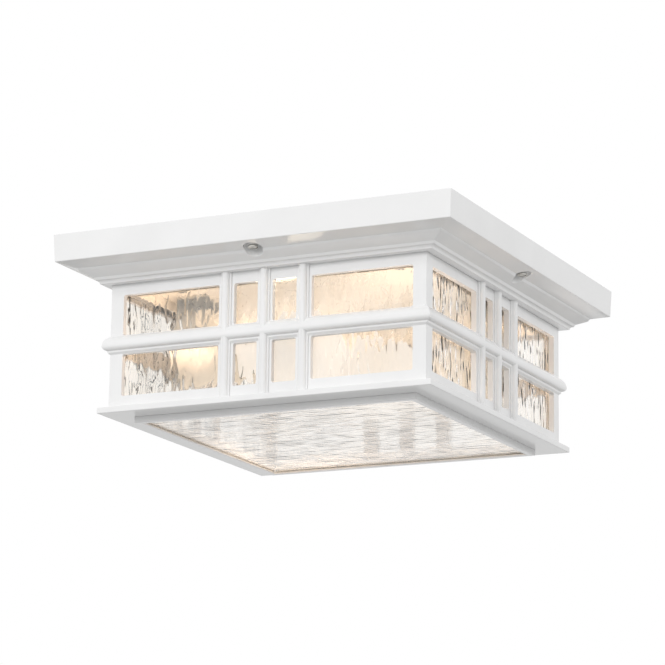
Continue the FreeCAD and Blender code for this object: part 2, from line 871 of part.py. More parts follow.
def fixing_screws():
    # Slotted screws in the canopy's pockets, each with its captive washer.
    seat = -s.pocket_height
    bottom = seat - s.washer_thickness
    for turns, side in enumerate(SIDES):
        washer = tube("fixing_washer_%d_ring" % (turns + 1), s.screw_radius + s.running_gap, s.washer_radius, bottom, seat)
        crown = s.screw_head_height / 2
        head = turned("fixing_screw_%d_head" % (turns + 1), [
            (ZERO, bottom - s.screw_head_height),
            (s.screw_head_radius - crown, bottom - s.screw_head_height),
            (s.screw_head_radius, bottom - crown),
            (s.screw_head_radius, bottom),
            (s.screw_radius, bottom),
            (s.screw_radius, -s.screw_tip_depth),
            (ZERO, -s.screw_tip_depth),
        ], {1: (s.screw_head_radius - crown, bottom - crown)})
        reach = s.screw_head_radius + s.overrun
        half_slot = s.screw_slot_width / 2
        slot_top = bottom - s.screw_head_height + s.screw_slot_depth
        slot = block("fixing_slot_%d" % (turns + 1), (-reach, -half_slot, slot_top - s.screw_slot_depth - s.overrun),
                     (reach, half_slot, slot_top))
        screw = cut("fixing_screw_%d_slotted" % (turns + 1), head, [slot])
        for label, item in (("fixing_washer_%d" % (turns + 1), washer), ("fixing_screw_%d" % (turns + 1), screw)):
            placed = together(label + "_placed", [item])
            put(placed, *turned_place(ZERO, -fixing_half, turns), ZERO)
            placed.Label = label
            pieces.append(placed)


def turned_place(x, y, turns):
    places = ((x, y), (-y, x), (-x, -y), (y, -x))
    return places[turns]


def mounting_pan():
    body = new_body("mounting_pan_sheet")
    plan = new_sketch(body, "pan_plan", "XY_Plane")
    square(plan, pan_half)
    blank = pad(body, "pan_blank", plan, s.pan_depth, reverse=True)
    document.recompute()
    recess = new_sketch(body, "pan_recess", "XY_Plane", pan_bottom)
    square(recess, pan_centre_half - s.pan_sheet)
    hollow = pocket(body, "pan_hollow", recess, s.pan_depth - s.pan_sheet, reverse=True)
    document.recompute()
    check_smaller(hollow, blank)
    groove = new_sketch(body, "pan_groove", "XY_Plane")
    square(groove, pan_centre_half)
    square(groove, pan_half - s.pan_sheet)
    channel = pocket(body, "pan_channel", groove, s.pan_depth - s.pan_sheet)
    document.recompute()
    check_smaller(channel, hollow)
    holes = []
    for turns, side in enumerate(SIDES):
        place = turned_place(ZERO, -fixing_half, turns)
        holes.append(rod("pan_fixing_hole_" + side, (*place, pan_bottom - s.overrun), s.pan_hole_radius,
                         s.pan_sheet + s.overrun * 2))
    wire = (ZERO, s.wire_place, pan_plate_bottom - s.overrun)
    plate_cut = s.pan_sheet + s.overrun * 2
    holes.append(rod("pan_wire_hole", wire, s.wire_hole_radius, plate_cut))
    ground = (-s.ground_place, s.wire_place, pan_plate_bottom - s.overrun)
    holes.append(rod("pan_ground_hole", ground, s.ground_radius + s.running_gap, plate_cut))
    half_width = s.slot_width / 2
    straight = s.slot_length / 2 - half_width
    for sign, hand in ((-1, "left"), (1, "right")):
        middle = s.slot_place * sign
        low = pan_plate_bottom - s.overrun
        holes.append(block("slot_middle_" + hand, (middle - straight, -half_width, low),
                           (middle + straight, half_width, s.overrun)))
        holes.append(rod("slot_start_" + hand, (middle - straight, ZERO, low), half_width, plate_cut))
        holes.append(rod("slot_end_" + hand, (middle + straight, ZERO, low), half_width, plate_cut))
    drilled = cut("mounting_pan", body, [fused("pan_holes", holes)])
    pieces.append(drilled)


def ceiling_gasket():
    pieces.append(square_ring("ceiling_gasket", [
        (gasket_outer_half, ZERO),
        (gasket_outer_half, pan_channel),
        (gasket_inner_half, pan_channel),
        (gasket_inner_half, ZERO),
    ]))


def pan_nuts():
    nuts = []
    for turns, side in enumerate(SIDES):
        place = turned_place(ZERO, -fixing_half, turns)
        hexagon = document.addObject("Part::Prism", "pan_nut_hexagon_" + side)
        hexagon.Polygon = 6
        bind(hexagon, Circumradius=s.nut_radius, Height=s.nut_height)
        put(hexagon, *place, pan_channel)
        bore = rod("pan_nut_bore_" + side, (*place, pan_channel - s.overrun), s.screw_radius + s.running_gap,
                   s.nut_height + s.overrun * 2)
        nuts.append(cut("pan_nut_" + side, hexagon, [bore]))
    pieces.append(together("pan_nuts", nuts))


def wire_bushing():
    flange_bottom_level = pan_plate_bottom - s.bushing_flange_thickness
    neck = s.wire_hole_radius - s.running_gap
    bushing = turned("wire_bushing", [
        (s.bushing_bore_radius, flange_bottom_level),
        (s.bushing_flange_radius, flange_bottom_level),
        (s.bushing_flange_radius, pan_plate_bottom),
        (neck, pan_plate_bottom),
        (neck, ZERO),
        (s.bushing_bore_radius, ZERO),
    ])
    put(bushing, ZERO, s.wire_place, ZERO)
    pieces.append(bushing)


def ground_screw():
    seat = (-s.ground_place, s.wire_place, pan_plate_bottom)
    head = (s.ground_head_radius, s.ground_head_height)
    pieces.append(headed_pin("ground_screw", seat, head, (s.ground_radius, s.pan_sheet), UP))


def reflector():
    # A shallow white tray, open below.
    body = new_body("reflector_tray")
    plan = new_sketch(body, "reflector_plan", "XY_Plane", -s.reflector_top)
    square(plan, reflector_half)
    blank = pad(body, "reflector_blank", plan, s.reflector_skirt, reverse=True)
    document.recompute()
    inside = new_sketch(body, "reflector_inside", "XY_Plane", -(s.reflector_top + s.reflector_skirt))
    square(inside, reflector_half - s.reflector_sheet)
    hollow = pocket(body, "reflector_hollow", inside, s.reflector_skirt - s.reflector_sheet, reverse=True)
    document.recompute()
    check_smaller(hollow, blank)
    low = reflector_bottom - s.overrun
    depth = s.reflector_sheet + s.overrun * 2
    holes = []
    for turns, side in enumerate(SIDES):
        place = turned_place(-post_place, -post_place, turns)
        holes.append(rod("reflector_post_hole_" + side, (*place, low), s.post_screw_radius + s.running_gap, depth))
    for end in (1, -1):
        for sign, hand in ((-1, "a"), (1, "b")):
            name = "reflector_rivet_hole_%s_%s" % ("left" if end == 1 else "right", hand)
            holes.append(rod(name, (*rivet_place(end, sign), low), s.rivet_radius + s.running_gap, depth))
    pieces.append(cut("reflector", body, holes))


def rivet_place(end, sign):
    across = -(holder_place - s.rivet_from_bend) * end
    along = -(lamp_offset + s.rivet_place * sign) * end
    return across, along


def reflector_posts():
    posts = []
    for turns, side in enumerate(SIDES):
        place = turned_place(-post_place, -post_place, turns)
        post = rod("reflector_post_bar_" + side, (*place, -s.reflector_top), s.post_radius,
                   s.reflector_top - s.pan_sheet)
        bore = rod("reflector_post_bore_" + side, (*place, -s.reflector_top), s.post_screw_radius + s.running_gap,
                   s.post_screw_length)
        posts.append(cut("reflector_post_" + side, post, [bore]))
    pieces.append(together("reflector_posts", posts))


def reflector_screws():
    screws = []
    for turns, side in enumerate(SIDES):
        place = turned_place(-post_place, -post_place, turns)
        head = (s.post_screw_head_radius, s.post_screw_head_height)
        shank = (s.post_screw_radius, s.post_screw_length)
        screws.append(headed_pin("reflector_screw_" + side, (*place, reflector_bottom), head, shank, UP))
    pieces.append(together("reflector_screws", screws))


def insulation_pad():
    low = (-pad_half, -pad_half, -s.reflector_top)
    high = (pad_half, pad_half, s.pad_height - s.reflector_top)
    slab = block("insulation_slab", low, high)
    hole = rod("insulation_wire_hole", (ZERO, s.wire_place, -(s.reflector_top + s.overrun)), s.pad_wire_radius,
               s.pad_height + s.overrun * 2)
    pieces.append(cut("insulation_pad", slab, [hole]))


def lamp_brackets():
    # A bent angle that hangs from the reflector and carries the back of a holder.
    for number, turns in ((1, 0), (2, 2)):
        name = "lamp_bracket_%d" % number
        back = -(holder_place + s.bracket_sheet)
        left = -(lamp_offset + s.bracket_width / 2)
        right = -(lamp_offset - s.bracket_width / 2)
        upright = block(name + "_upright", (back, left, reflector_bottom - s.bracket_height),
                        (-holder_place, right, reflector_bottom))
        foot = block(name + "_foot", (back, left, reflector_bottom - s.bracket_sheet),
                     (back + s.bracket_foot, right, reflector_bottom))
        reach = s.bracket_sheet + s.overrun * 2
        along = FreeCAD.Vector(1, 0, 0)
        start = back - s.overrun
        holes = [rod(name + "_lead_hole", (start, -lamp_offset, -s.lamp_depth), s.bracket_lead_radius, reach, along)]
        for sign, hand in ((-1, "a"), (1, "b")):
            place = (start, -(lamp_offset + s.holder_screw_place * sign), -s.lamp_depth)
            holes.append(rod("%s_screw_hole_%s" % (name, hand), place, s.holder_screw_radius + s.running_gap,
                             reach, along))
            foot_hole = (*rivet_place(1, sign), reflector_bottom - s.bracket_sheet - s.overrun)
            holes.append(rod("%s_rivet_hole_%s" % (name, hand), foot_hole, s.rivet_radius + s.running_gap, reach))
        bracket = cut(name + "_drilled", fused(name + "_bent", [upright, foot]), holes)
        bracket.Placement.Rotation = quarter_turns(turns)
        bracket.Label = name
        pieces.append(bracket)


def bracket_rivets():
    rivets = []
    for end, ending in ((1, "left"), (-1, "right")):
        for sign, hand in ((-1, "a"), (1, "b")):
            name = "bracket_rivet_%s_%s" % (ending, hand)
            place = rivet_place(end, sign)
            foot = reflector_bottom - s.bracket_sheet
            lower = rod(name + "_lower", (*place, foot - s.rivet_head_height), s.rivet_head_radius, s.rivet_head_height)
            stem = rod(name + "_stem", (*place, foot), s.rivet_radius, s.bracket_sheet + s.reflector_sheet)
            upper = rod(name + "_upper", (*place, -s.reflector_top), s.rivet_head_radius, s.rivet_head_height)
            rivets.append(fused(name, [lower, stem, upper]))
    pieces.append(together("bracket_rivets", rivets))


def along_lamp(label, item, number):
    # Lay a piece made along +Z on the axis of lamp 1 or lamp 2, from the holder's back.
    end = 1 if number == 1 else -1
    placed = together(label + "_placed", [item])
    placed.Placement.Rotation = FreeCAD.Rotation(UP, FreeCAD.Vector(end, 0, 0))
    put(placed, -holder_place * end, -lamp_offset * end, -s.lamp_depth)
    item.Label = label + "_along_z"
    placed.Label = label
    pieces.append(placed)


def lampholders():
    for number in (1, 2):
        pin = s.contact_pin_radius + s.running_gap
        cavity = s.shell_radius + s.running_gap
        name = "lampholder_%d" % number
        ceramic = turned(name + "_turned", [
            (pin, ZERO),
            (s.holder_radius, ZERO),
            (s.holder_radius, s.holder_collar),
            (s.holder_mouth_radius, s.holder_length),
            (cavity, s.holder_length),
            (cavity, s.holder_back),
            (pin, s.holder_back),
        ])
        holes = []
        for sign, hand in ((-1, "a"), (1, "b")):
            place = (ZERO, s.holder_screw_place * sign, -s.overrun)
            holes.append(rod("%s_hole_%s" % (name, hand), place, s.holder_screw_radius + s.running_gap,
                             s.holder_screw_depth + s.overrun))
        along_lamp(name, cut(name + "_drilled", ceramic, holes), number)

        name = "holder_shell_%d" % number
        shell = tube(name + "_tube", s.shell_radius - s.shell_sheet, s.shell_radius, s.shell_start,
                     s.shell_start + s.shell_length)
        along_lamp(name, shell, number)

        name = "holder_contact_%d" % number
        disc_top = s.holder_back + s.contact_disc_height
        contact = turned(name + "_turned", [
            (ZERO, ZERO),
            (s.contact_pin_radius, ZERO),
            (s.contact_pin_radius, s.holder_back),
            (s.contact_disc_radius, s.holder_back),
            (s.contact_disc_radius, disc_top),
            (s.contact_stem_radius, disc_top),
            (s.contact_stem_radius, s.lamp_start - s.contact_gap),
            (ZERO, s.lamp_start - s.contact_gap),
        ])
        along_lamp(name, contact, number)


def holder_screws():
    screws = []
    for end, ending in ((1, "left"), (-1, "right")):
        for sign, hand in ((-1, "a"), (1, "b")):
            seat = (-(holder_place + s.bracket_sheet) * end, -(lamp_offset + s.holder_screw_place * sign) * end,
                    -s.lamp_depth)
            head = (s.holder_screw_head_radius, s.holder_screw_head_height)
            shank = (s.holder_screw_radius, s.bracket_sheet + s.holder_screw_depth)
            name = "holder_screw_%s_%s" % (ending, hand)
            screws.append(headed_pin(name, seat, head, shank, FreeCAD.Vector(end, 0, 0)))
    pieces.append(together("holder_screws", screws))


def lamps():
    cap_radius = s.shell_radius - s.shell_sheet - s.running_gap
    start = s.lamp_start
    cone_bottom = start + s.button_height
    cone_top = cone_bottom + s.cap_cone_height
    cap_top = start + s.cap_length
    neck_radius = cap_radius - s.cap_sheet - s.neck_gap
    neck_bottom = cap_top - s.neck_sunk
    neck_top = cap_top + s.neck_height
    lamp_top = start + s.lamp_length
    globe_middle = lamp_top - s.globe_radius
    out_share, back_share = GLOBE_SHOULDER_SHARES
    inner_radius = s.globe_radius - s.globe_wall
    for number in (1, 2):
        name = "lamp_contact_%d" % number
        along_lamp(name, rod(name + "_button", (ZERO, ZERO, start), s.button_radius, s.button_height), number)

        name = "lamp_cap_%d" % number
        cap = turned(name + "_turned", [
            (ZERO, cone_bottom),
            (s.button_radius, cone_bottom),
            (cap_radius, cone_top),
            (cap_radius, cap_top),
            (cap_radius - s.cap_sheet, cap_top),
            (cap_radius - s.cap_sheet, cone_top),
            (s.button_radius, cone_bottom + s.cap_sheet),
            (ZERO, cone_bottom + s.cap_sheet),
        ])
        along_lamp(name, cap, number)

        name = "lamp_globe_%d" % number
        globe = turned(name + "_turned", [
            (neck_radius - s.globe_wall, neck_bottom),
            (neck_radius, neck_bottom),
            (neck_radius, neck_top),
            (s.globe_radius * out_share, globe_middle - s.globe_radius * back_share),
            (ZERO, lamp_top),
            (ZERO, lamp_top - s.globe_wall),
            (inner_radius * out_share, globe_middle - inner_radius * back_share),
            (neck_radius - s.globe_wall, neck_top),
        ], {3: (ZERO, globe_middle), 5: (ZERO, globe_middle)})
        along_lamp(name, globe, number)


def check_and_export():
    document.recompute()
    for item in document.Objects:
        if "Invalid" in item.State or "Error" in item.State:
            raise RuntimeError("%s failed: %s" % (item.Label, item.State))
    for piece in pieces:
        if piece.Shape.isNull() or not piece.Shape.isValid():
            raise RuntimeError(piece.Label + " has no valid shape")
    os.makedirs("parts", exist_ok=True)
    for piece in pieces:
        piece.Shape.exportStep("parts/%s.step" % piece.Label)
        box = piece.Shape.BoundBox
        print("%-20s solids %2d  volume %9.1f  z %8.2f to %7.2f" % (
            piece.Label, len(piece.Shape.Solids), piece.Shape.Volume, box.ZMin, box.ZMax))
    print(len(pieces), "pieces")


mounting_pan()
ceiling_gasket()
pan_nuts()
wire_bushing()
ground_screw()
insulation_pad()
reflector()
reflector_posts()
reflector_screws()
lamp_brackets()
bracket_rivets()
lampholders()
holder_screws()
lamps()
canopy()
for turn_count, side_name in enumerate(SIDES):
    side_frame(side_name, turn_count)
cage_screws()
side_panes()
pane_clips()
pane_clip_screws()
bottom_flange()
flange_screws()
bottom_tray()
tray_screws()
tray_tape()
bottom_pane()
fixing_screws()
check_and_export()
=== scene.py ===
import json
import math

import bmesh
import bpy
from mathutils import Matrix, Vector


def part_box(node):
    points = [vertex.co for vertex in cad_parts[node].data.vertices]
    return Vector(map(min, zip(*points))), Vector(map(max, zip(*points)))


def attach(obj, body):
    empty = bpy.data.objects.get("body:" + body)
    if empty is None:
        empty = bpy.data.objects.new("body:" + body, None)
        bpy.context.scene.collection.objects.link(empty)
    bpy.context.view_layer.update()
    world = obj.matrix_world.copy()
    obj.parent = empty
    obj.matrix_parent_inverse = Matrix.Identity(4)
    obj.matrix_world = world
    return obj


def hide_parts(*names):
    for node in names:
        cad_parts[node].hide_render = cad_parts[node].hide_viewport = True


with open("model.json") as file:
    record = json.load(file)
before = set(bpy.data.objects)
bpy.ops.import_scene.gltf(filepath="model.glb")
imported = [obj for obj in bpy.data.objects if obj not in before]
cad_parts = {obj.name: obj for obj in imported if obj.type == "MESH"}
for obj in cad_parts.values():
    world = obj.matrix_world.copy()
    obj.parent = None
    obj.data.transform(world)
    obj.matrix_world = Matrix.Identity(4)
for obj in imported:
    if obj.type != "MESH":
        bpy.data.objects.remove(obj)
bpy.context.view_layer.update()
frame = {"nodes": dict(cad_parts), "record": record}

nodes = frame["nodes"]
scene = bpy.context.scene
mm = 0.001


def srgb(text):
    # a hex colour as it is seen, turned linear
    parts = [int(text[i:i + 2], 16) / 255 for i in (1, 3, 5)]
    return [p / 12.92 if p <= 0.04045 else ((p + 0.055) / 1.055) ** 2.4 for p in parts] + [1.0]


def addNode(tree, kind, settings=None, **links):
    # a node with its settings; links go from another node's socket to the named input
    node = tree.nodes.new("ShaderNode" + kind)
    for name, value in (settings or {}).items():
        if name in node.inputs:
            node.inputs[name].default_value = value
        else:
            setattr(node, name, value)
    for name, socket in links.items():
        tree.links.new(socket, node.inputs[name.replace("_", " ")])
    return node


def newFinish(name):
    material = bpy.data.materials.new(name)
    material.use_nodes = True
    tree = material.node_tree
    shader = tree.nodes["Principled BSDF"]
    place = addNode(tree, "TexCoord").outputs["Object"]
    return material, tree, shader, place


def selectOnly(piece):
    bpy.ops.object.select_all(action="DESELECT")
    piece.select_set(True)
    bpy.context.view_layer.objects.active = piece


def applyModifier(piece, kind, **settings):
    selectOnly(piece)
    modifier = piece.modifiers.new(kind.title(), kind)
    for name, value in settings.items():
        setattr(modifier, name, value)
    bpy.ops.object.modifier_apply(modifier=modifier.name)


# the photograph's viewing angle: below the light and to the right of its wide front
photoCamera = {"place": (0.90158, -1.88500, -0.54721), "yaw": 0.4490, "pitch": 0.2330, "roll": 0.0135,
               "focalPixels": 2965.35, "framePixels": 665, "sensor": 36, "nearest": 0.05}


def addCamera(values):
    yaw, pitch, roll = values["yaw"], values["pitch"], values["roll"]
    right = Vector((math.cos(yaw), math.sin(yaw), 0))
    level = Vector((-math.sin(yaw), math.cos(yaw), 0))
    forward = level * math.cos(pitch) + Vector((0, 0, math.sin(pitch)))
    up = Vector((0, 0, math.cos(pitch))) - level * math.sin(pitch)
    turnedRight = right * math.cos(roll) + up * math.sin(roll)
    turnedUp = up * math.cos(roll) - right * math.sin(roll)
    data = bpy.data.cameras.new("photoCamera")
    data.sensor_width = values["sensor"]
    data.lens = values["focalPixels"] / values["framePixels"] * values["sensor"]
    data.clip_start = values["nearest"]
    camera = bpy.data.objects.new("photoCamera", data)
    scene.collection.objects.link(camera)
    camera.matrix_world = Matrix((turnedRight, turnedUp, -forward)).transposed().to_4x4()
    camera.location = values["place"]
    scene.camera = camera


addCamera(photoCamera)
print("camera placed")


powderCoat = {"darkest": "#F1F1F1", "lightest": "#F5F5F5", "cloudSize": 45 * mm, "gloss": (0.15, 0.22),
              "ior": 1.5, "peelSize": 2.2 * mm, "peelDepth": 0.02 * mm}


def whitePowderCoat(values):
    # cast aluminium under a white polyester powder coat: an even semi-gloss skin with a faint orange peel
    material, tree, shader, place = newFinish("whitePowderCoat")
    cloud = addNode(tree, "TexNoise", {"Scale": 1 / values["cloudSize"], "Detail": 3.0}, Vector=place)
    tint = addNode(tree, "ValToRGB", Fac=cloud.outputs["Fac"])
    low, high = tint.color_ramp.elements
    low.position, high.position = 0.35, 0.65
    low.color, high.color = srgb(values["darkest"]), srgb(values["lightest"])
    tree.links.new(tint.outputs["Color"], shader.inputs["Base Color"])
    gloss = addNode(tree, "MapRange", {"To Min": values["gloss"][0], "To Max": values["gloss"][1]},
                    Value=cloud.outputs["Fac"])
    tree.links.new(gloss.outputs["Result"], shader.inputs["Roughness"])
    peel = addNode(tree, "TexNoise", {"Scale": 1 / values["peelSize"], "Detail": 1.0}, Vector=place)
    bump = addNode(tree, "Bump", {"Strength": 0.25, "Distance": values["peelDepth"]},
                   Height=peel.outputs["Fac"])
    tree.links.new(bump.outputs["Normal"], shader.inputs["Normal"])
    shader.inputs["IOR"].default_value = values["ior"]
    return material


waterGlass = {"darkest": "#FBF6EE", "lightest": "#FFFFFF", "hazeSize": 30 * mm, "gloss": (0.01, 0.05),
              "ior": 1.5, "grainSize": 1.6 * mm, "grainDepth": 0.05 * mm}


def clearWaterGlass(values):
    # clear soda-lime glass rolled with a water pattern: colourless, with a fine roller grain on its waves
    material, tree, shader, place = newFinish("clearWaterGlass")
    haze = addNode(tree, "TexNoise", {"Scale": 1 / values["hazeSize"], "Detail": 2.0}, Vector=place)
    tint = addNode(tree, "ValToRGB", Fac=haze.outputs["Fac"])
    low, high = tint.color_ramp.elements
    low.color, high.color = srgb(values["darkest"]), srgb(values["lightest"])
    tree.links.new(tint.outputs["Color"], shader.inputs["Base Color"])
    gloss = addNode(tree, "MapRange", {"To Min": values["gloss"][0], "To Max": values["gloss"][1]},
                    Value=haze.outputs["Fac"])
    tree.links.new(gloss.outputs["Result"], shader.inputs["Roughness"])
    grain = addNode(tree, "TexNoise", {"Scale": 1 / values["grainSize"], "Detail": 2.0}, Vector=place)
    bump = addNode(tree, "Bump", {"Strength": 0.3, "Distance": values["grainDepth"]},
                   Height=grain.outputs["Fac"])
    tree.links.new(bump.outputs["Normal"], shader.inputs["Normal"])
    shader.inputs["Transmission Weight"].default_value = 1.0
    shader.inputs["IOR"].default_value = values["ior"]
    # the lamps' light passes straight through the panes
    ray = addNode(tree, "LightPath")
    clear = addNode(tree, "BsdfTransparent")
    passed = addNode(tree, "MixShader")
    tree.links.new(ray.outputs["Is Shadow Ray"], passed.inputs[0])
    tree.links.new(shader.outputs["BSDF"], passed.inputs[1])
    tree.links.new(clear.outputs["BSDF"], passed.inputs[2])
    tree.links.new(passed.outputs["Shader"], tree.nodes["Material Output"].inputs["Surface"])
    return material


# the grain is stretched along one axis where a sheet or a spring was drawn or rolled that way
platings = {
    # steel, barrel-plated with bright zinc: a soft grey shine with a faint spangle
    "zinc_steel": {"name": "zincPlatedSteel", "darkest": "#CBCDCE", "lightest": "#E2E3E3",
                   "roughness": 0.46, "grain": 5 * mm, "stretch": (1, 1, 1)},
    # steel screws, polished and nickel-plated: a warm mirror that picks up the room and the rim
    "nickel_steel": {"name": "nickelPlatedSteel", "darkest": "#C9C6C0", "lightest": "#E4E2DD",
                     "roughness": 0.12, "grain": 3 * mm, "stretch": (1, 1, 1)},
    # drawn spring strip under zinc: darker, with lines along the strip
    "spring_steel": {"name": "zincPlatedSpringSteel", "darkest": "#AEB1B3", "lightest": "#CFD1D2",
                     "roughness": 0.32, "grain": 2 * mm, "stretch": (1, 1, 8)},
    # the earth screw's green passivated zinc
    "green_steel": {"name": "greenPlatedSteel", "darkest": "#3C7A4A", "lightest": "#4F9560",
                    "roughness": 0.35, "grain": 2 * mm, "stretch": (1, 1, 1)},
    # bright rolled aluminium: pale, with fine rolling lines
    "bright_aluminium": {"name": "brightRolledAluminium", "darkest": "#D8D9DA", "lightest": "#EDEEEE",
                         "roughness": 0.22, "grain": 1.2 * mm, "stretch": (1, 12, 1)},
    # deep-drawn brass of the lamps and their holders: warm yellow, a little cloudy from handling
    "brass": {"name": "pressedBrass", "darkest": "#B8964E", "lightest": "#D9B86A", "roughness": 0.24,
              "grain": 3 * mm, "stretch": (1, 1, 1)},
}


def platedMetal(values):
    # plated or bright sheet metal: drawing lines or spangle under an even shine
    material, tree, shader, place = newFinish(values["name"])
    lined = addNode(tree, "Mapping", {"Scale": values["stretch"]}, Vector=place)
    spangle = addNode(tree, "TexNoise", {"Scale": 1 / values["grain"], "Detail": 4.0},
                      Vector=lined.outputs["Vector"])
    tint = addNode(tree, "ValToRGB", Fac=spangle.outputs["Fac"])
    low, high = tint.color_ramp.elements
    low.position, high.position = 0.3, 0.7
    low.color, high.color = srgb(values["darkest"]), srgb(values["lightest"])
    tree.links.new(tint.outputs["Color"], shader.inputs["Base Color"])
    dull = values["roughness"]
    gloss = addNode(tree, "MapRange", {"To Min": dull - 0.06, "To Max": dull + 0.06},
                    Value=spangle.outputs["Fac"])
    tree.links.new(gloss.outputs["Result"], shader.inputs["Roughness"])
    bump = addNode(tree, "Bump", {"Strength": 0.2, "Distance": 0.02 * mm}, Height=spangle.outputs["Fac"])
    tree.links.new(bump.outputs["Normal"], shader.inputs["Normal"])
    shader.inputs["Metallic"].default_value = 1.0
    return material


porcelain = {"specks": "#B5AD9F", "glaze": "#DDD6CA", "speckSize": 3 * mm, "gloss": (0.08, 0.2),
             "coat": 0.6, "waveSize": 6 * mm, "waveDepth": 0.05 * mm}


def glazedPorcelain(values):
    # slip-cast electrical porcelain under a clear glaze: warm white with a few dark specks
    material, tree, shader, place = newFinish("glazedPorcelain")
    speck = addNode(tree, "TexVoronoi", {"Scale": 1 / values["speckSize"]}, Vector=place)
    tint = addNode(tree, "ValToRGB", Fac=speck.outputs["Distance"])
    low, high = tint.color_ramp.elements
    low.position, high.position = 0.04, 0.1
    low.color, high.color = srgb(values["specks"]), srgb(values["glaze"])
    tree.links.new(tint.outputs["Color"], shader.inputs["Base Color"])
    wave = addNode(tree, "TexNoise", {"Scale": 1 / values["waveSize"], "Detail": 1.0}, Vector=place)
    gloss = addNode(tree, "MapRange", {"To Min": values["gloss"][0], "To Max": values["gloss"][1]},
                    Value=wave.outputs["Fac"])
    tree.links.new(gloss.outputs["Result"], shader.inputs["Roughness"])
    bump = addNode(tree, "Bump", {"Strength": 0.2, "Distance": values["waveDepth"]},
                   Height=wave.outputs["Fac"])
    tree.links.new(bump.outputs["Normal"], shader.inputs["Normal"])
    shader.inputs["Coat Weight"].default_value = values["coat"]
    return material


frostedGlass = {"darkest": "#FFF7EE", "lightest": "#FFFAF4", "cloudSize": 14 * mm, "glow": 0.66,
                "skin": "#8A8782", "gloss": (0.35, 0.5), "grit": 1 * mm, "gritDepth": 0.02 * mm}


def litFrostedGlass(values):
    # a lamp's blown globe, etched inside and switched on: an even cream white with soft clouds
    material, tree, shader, place = newFinish("litFrostedGlass")
    frost = addNode(tree, "TexNoise", {"Scale": 1 / values["cloudSize"], "Detail": 2.0}, Vector=place)
    glow = addNode(tree, "ValToRGB", Fac=frost.outputs["Fac"])
    low, high = glow.color_ramp.elements
    low.color, high.color = srgb(values["darkest"]), srgb(values["lightest"])
    tree.links.new(glow.outputs["Color"], shader.inputs["Emission Color"])
    shader.inputs["Base Color"].default_value = srgb(values["skin"])
    gloss = addNode(tree, "MapRange", {"To Min": values["gloss"][0], "To Max": values["gloss"][1]},
                    Value=frost.outputs["Fac"])
    tree.links.new(gloss.outputs["Result"], shader.inputs["Roughness"])
    # the etched grit is far finer than this, and is drawn as coarse as it shows
    grit = addNode(tree, "TexNoise", {"Scale": 1 / values["grit"]}, Vector=place)
    bump = addNode(tree, "Bump", {"Strength": 0.3, "Distance": values["gritDepth"]},
                   Height=grit.outputs["Fac"])
    tree.links.new(bump.outputs["Normal"], shader.inputs["Normal"])
    shader.inputs["Emission Strength"].default_value = values["glow"]
    return material


stovedEnamel = {"darkest": "#EFE9DF", "lightest": "#F7F2E9", "waveSize": 20 * mm, "gloss": (0.22, 0.34),
                "peelSize": 1.8 * mm, "peelDepth": 0.03 * mm}


def whiteEnamel(values):
    # stoved white enamel on rolled sheet: a warm white gloss that spreads the lamps' light, a little wavy
    material, tree, shader, place = newFinish("whiteStovedEnamel")
    wave = addNode(tree, "TexNoise", {"Scale": 1 / values["waveSize"], "Detail": 2.0}, Vector=place)
    tint = addNode(tree, "ValToRGB", Fac=wave.outputs["Fac"])
    low, high = tint.color_ramp.elements
    low.color, high.color = srgb(values["darkest"]), srgb(values["lightest"])
    tree.links.new(tint.outputs["Color"], shader.inputs["Base Color"])
    gloss = addNode(tree, "MapRange", {"To Min": values["gloss"][0], "To Max": values["gloss"][1]},
                    Value=wave.outputs["Fac"])
    tree.links.new(gloss.outputs["Result"], shader.inputs["Roughness"])
    peel = addNode(tree, "TexNoise", {"Scale": 1 / values["peelSize"], "Detail": 1.0}, Vector=place)
    bump = addNode(tree, "Bump", {"Strength": 0.3, "Distance": values["peelDepth"]},
                   Height=peel.outputs["Fac"])
    tree.links.new(bump.outputs["Normal"], shader.inputs["Normal"])
    return material


softGoods = {
    # moulded EPDM rubber: near black and matt, with a fine mould grain
    "rubber": {"name": "mouldedRubber", "darkest": "#161616", "lightest": "#232323", "roughness": 0.55,
               "cell": 1.5 * mm, "depth": 0.02 * mm},
    # black closed-cell neoprene foam, cut from sheet: matt, with open cut cells
    "foam": {"name": "closedCellFoam", "darkest": "#1B1B1B", "lightest": "#333333", "roughness": 0.8,
             "cell": 1.2 * mm, "depth": 0.2 * mm},
    # white closed-cell polyethylene tape: chalky, with shallow cells
    "white_foam": {"name": "whiteClosedCellFoam", "darkest": "#D6D3CB", "lightest": "#EDEBE6",
                   "roughness": 0.8, "cell": 1.2 * mm, "depth": 0.1 * mm},
    # matted glass fibre: straw yellow and fluffy; its strands are drawn as coarse as they show
    "glass_fibre": {"name": "mattedGlassFibre", "darkest": "#B9A86A", "lightest": "#E2D8A8",
                    "roughness": 0.85, "cell": 2.5 * mm, "depth": 0.5 * mm},
}


def softStuff(values):
    # foam, rubber and matted fibre: matt, with cells or strands of one size
    material, tree, shader, place = newFinish(values["name"])
    cells = addNode(tree, "TexVoronoi", {"Scale": 1 / values["cell"]}, Vector=place)
    tint = addNode(tree, "ValToRGB", Fac=cells.outputs["Distance"])
    low, high = tint.color_ramp.elements
    low.color, high.color = srgb(values["darkest"]), srgb(values["lightest"])
    tree.links.new(tint.outputs["Color"], shader.inputs["Base Color"])
    gloss = addNode(tree, "MapRange", {"To Min": values["roughness"], "To Max": values["roughness"] + 0.1},
                    Value=cells.outputs["Distance"])
    tree.links.new(gloss.outputs["Result"], shader.inputs["Roughness"])
    bump = addNode(tree, "Bump", {"Strength": 0.5, "Distance": values["depth"]},
                   Height=cells.outputs["Distance"])
    tree.links.new(bump.outputs["Normal"], shader.inputs["Normal"])
    return material


